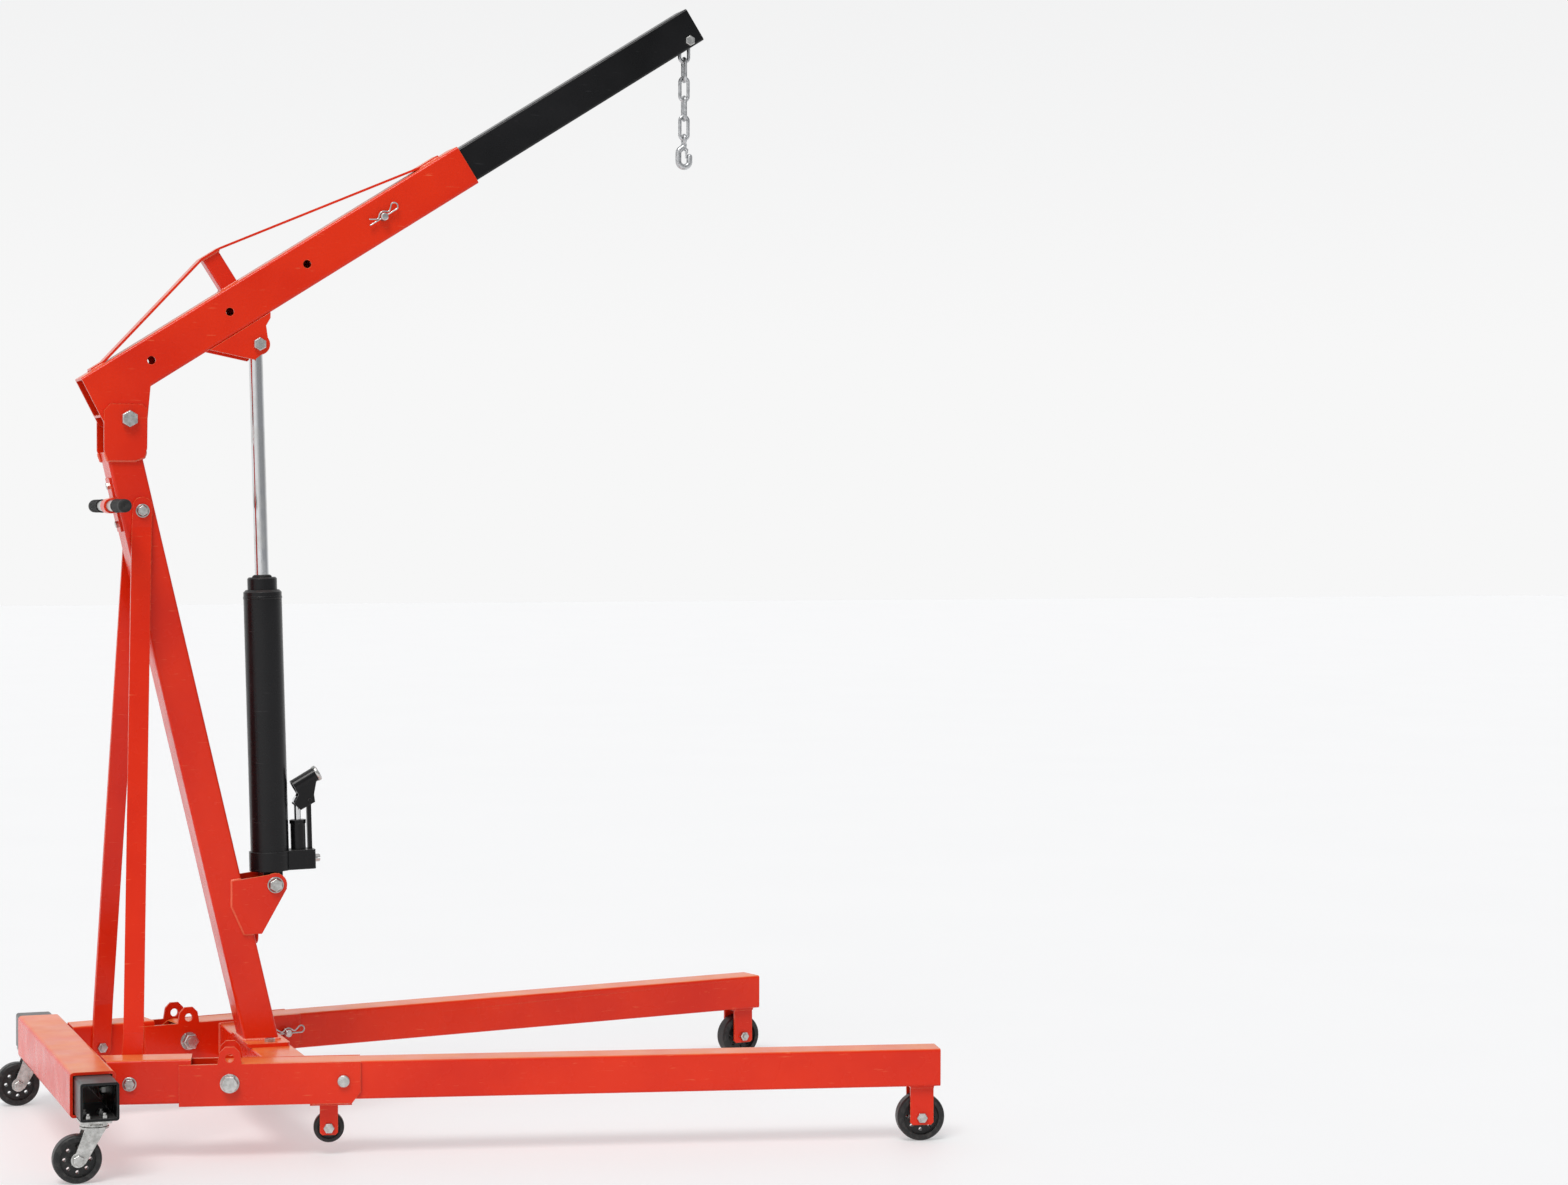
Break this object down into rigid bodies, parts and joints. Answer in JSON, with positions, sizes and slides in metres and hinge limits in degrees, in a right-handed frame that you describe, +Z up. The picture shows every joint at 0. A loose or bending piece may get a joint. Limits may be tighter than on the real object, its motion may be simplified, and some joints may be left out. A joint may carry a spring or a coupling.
{
  "type": "engine hoist crane",
  "caption": "Folding workshop crane with a hydraulic ram, telescopic trussed boom with chain and hook, leaning braced mast and splayed wheeled legs that fold upright.",
  "frame": {"origin": "on the floor, at the middle of the hoist's footprint in length and width", "axes": "+X forward along the boom and between the legs, +Y to the hoist's left, +Z up"},
  "size_m": [1.7866, 1.2188, 2.364],
  "materials": {
    "red_paint": "gloss enamel",
    "black_paint": "semi-gloss enamel",
    "zinc_plate": "bright zinc plate",
    "chromed_rod": "hard chrome, ground",
    "galvanised_chain": "galvanised",
    "wheel_nylon": "moulded, satin",
    "grip_rubber": "moulded rubber"
  },
  "bodies": {
    "base": {"rear_crossbar": "red_paint", "end_stubs": "black_paint", "frame_rail_left": "red_paint", "frame_rail_right": "red_paint", "leg_channel_left": "red_paint", "leg_channel_right": "red_paint", "front_crossmember": "red_paint", "mast_tube": "red_paint", "mast_foot_plate": "red_paint", "mast_head_plates": "red_paint", "ram_bracket": "red_paint", "brace_left": "red_paint", "brace_right": "red_paint", "handlebar": "zinc_plate", "handlebar_grips": "grip_rubber", "handlebar_bracket": "red_paint", "frame_bolts": "zinc_plate", "pivot_bolts": "zinc_plate", "small_wheel_forks": "red_paint", "small_wheel_axles": "zinc_plate", "caster_plates": "zinc_plate"},
    "boom": {"boom_tube": "red_paint", "truss_strap": "red_paint", "truss_post": "red_paint", "boom_ram_ears": "red_paint", "ram_upper_bolt": "zinc_plate", "boom_lock_pin": "zinc_plate"},
    "extension": {"boom_extension": "black_paint", "tip_bolt": "zinc_plate"},
    "chain": {"lifting_chain": "galvanised_chain"},
    "hook": {"hook": "galvanised_chain"},
    "hook_latch": {"hook_latch": "galvanised_chain"},
    "ram": {"ram_cylinder": "black_paint", "ram_gland": "black_paint", "ram_base": "black_paint", "pump_cylinder": "black_paint", "pump_link": "black_paint"},
    "ram_rod": {"ram_rod": "chromed_rod", "ram_upper_pin": "zinc_plate"},
    "pump_handle": {"pump_handle_socket": "black_paint"},
    "pump_plunger": {"pump_plunger": "chromed_rod"},
    "release_valve": {"release_valve": "zinc_plate"},
    "leg_left": {"leg_left": "red_paint", "front_fork_left": "red_paint", "front_axle_left": "zinc_plate", "leg_lock_pin_left": "zinc_plate"},
    "front_wheel_left": {"front_wheel_left": "wheel_nylon"},
    "small_wheel_left": {"small_wheel_left": "wheel_nylon"},
    "caster_left": {"caster_fork_left": "zinc_plate", "caster_axle_left": "zinc_plate"},
    "caster_wheel_left": {"caster_wheel_left": "wheel_nylon"},
    "leg_right": {"leg_right": "red_paint", "front_fork_right": "red_paint", "front_axle_right": "zinc_plate", "leg_lock_pin_right": "zinc_plate"},
    "front_wheel_right": {"front_wheel_right": "wheel_nylon"},
    "small_wheel_right": {"small_wheel_right": "wheel_nylon"},
    "caster_right": {"caster_fork_right": "zinc_plate", "caster_axle_right": "zinc_plate"},
    "caster_wheel_right": {"caster_wheel_right": "wheel_nylon"}
  },
  "joints": [
    {"name": "boom_lift", "type": "hinge", "parent": "base", "child": "boom", "pos_m": [-0.6818, 0, 1.47], "axis": [0, 1, 0], "range_deg": [0, 88]},
    {"name": "boom_extend", "type": "slide", "parent": "boom", "child": "extension", "axis": [-0.8434, 0, -0.5373], "range_m": [0, 0.38]},
    {"name": "chain_swing", "type": "hinge", "parent": "extension", "child": "chain", "pos_m": [0.5174, 0, 2.29563], "axis": [0, 1, 0], "range_deg": [-90, 5]},
    {"name": "hook_swing", "type": "hinge", "parent": "chain", "child": "hook", "pos_m": [0.5174, 0, 2.08868], "axis": [1, 0, 0], "range_deg": [-40, 40]},
    {"name": "latch_open", "type": "hinge", "parent": "hook", "child": "hook_latch", "pos_m": [0.51589, 0, 2.07128], "axis": [0, 1, 0], "range_deg": [0, 22], "stiffness_Nm_per_rad": 0.02, "springref_deg": -11.46},
    {"name": "ram_swing", "type": "hinge", "parent": "base", "child": "ram", "pos_m": [-0.3838, 0, 0.512], "axis": [0, -1, 0], "range_deg": [0, 10]},
    {"name": "ram_stroke", "type": "slide", "parent": "ram", "child": "ram_rod", "axis": [0.0276, 0, -0.9996], "range_m": [0, 0.42]},
    {"name": "pump_stroke", "type": "hinge", "parent": "ram", "child": "pump_handle", "pos_m": [-0.30447, 0, 0.68226], "axis": [0, 1, 0], "range_deg": [0, 40]},
    {"name": "plunger_travel", "type": "slide", "parent": "ram", "child": "pump_plunger", "axis": [-0.0276, 0, 0.9996], "range_m": [0, 0.017]},
    {"name": "release_turn", "type": "hinge", "parent": "ram", "child": "release_valve", "pos_m": [-0.29311, 0, 0.56052], "axis": [0.9996, 0, 0.0276], "range_deg": [0, 180]},
    {"name": "leg_fold_left", "type": "hinge", "parent": "base", "child": "leg_left", "pos_m": [-0.5218, 0.281, 0.153], "axis": [0.2036, -0.979, 0], "range_deg": [0, 90]},
    {"name": "front_wheel_spin_left", "type": "hinge", "parent": "leg_left", "child": "front_wheel_left", "pos_m": [0.84299, 0.56488, 0.049], "axis": [-0.2036, 0.979, 0], "continuous": true},
    {"name": "small_wheel_spin_left", "type": "hinge", "parent": "base", "child": "small_wheel_left", "pos_m": [-0.33147, 0.32059, 0.0553], "axis": [-0.2036, 0.979, 0], "continuous": true},
    {"name": "caster_swivel_left", "type": "hinge", "parent": "base", "child": "caster_left", "pos_m": [-0.8138, 0.446, 0.107], "axis": [0, 0, 1], "continuous": true},
    {"name": "caster_wheel_spin_left", "type": "hinge", "parent": "caster_left", "child": "caster_wheel_left", "pos_m": [-0.8468, 0.446, 0.0465], "axis": [0, 1, 0], "continuous": true},
    {"name": "leg_fold_right", "type": "hinge", "parent": "base", "child": "leg_right", "pos_m": [-0.5218, -0.281, 0.153], "axis": [-0.2036, -0.979, 0], "range_deg": [0, 90]},
    {"name": "front_wheel_spin_right", "type": "hinge", "parent": "leg_right", "child": "front_wheel_right", "pos_m": [0.84299, -0.56488, 0.049], "axis": [-0.2036, -0.979, 0], "continuous": true},
    {"name": "small_wheel_spin_right", "type": "hinge", "parent": "base", "child": "small_wheel_right", "pos_m": [-0.33147, -0.32059, 0.0553], "axis": [-0.2036, -0.979, 0], "continuous": true},
    {"name": "caster_swivel_right", "type": "hinge", "parent": "base", "child": "caster_right", "pos_m": [-0.8138, -0.446, 0.107], "axis": [0, 0, 1], "continuous": true},
    {"name": "caster_wheel_spin_right", "type": "hinge", "parent": "caster_right", "child": "caster_wheel_right", "pos_m": [-0.8468, -0.446, 0.0465], "axis": [0, 1, 0], "continuous": true}
  ],
  "couplings": [
    {"joint": "chain_swing", "follows": "boom_lift", "ratio": -1},
    {"joint": "ram_swing", "follows": "boom_lift", "ratio": 0.10414},
    {"joint": "ram_stroke", "follows": "boom_lift", "m_per_rad": 0.26445},
    {"joint": "plunger_travel", "follows": "pump_stroke", "m_per_rad": 0.0225}
  ]
}
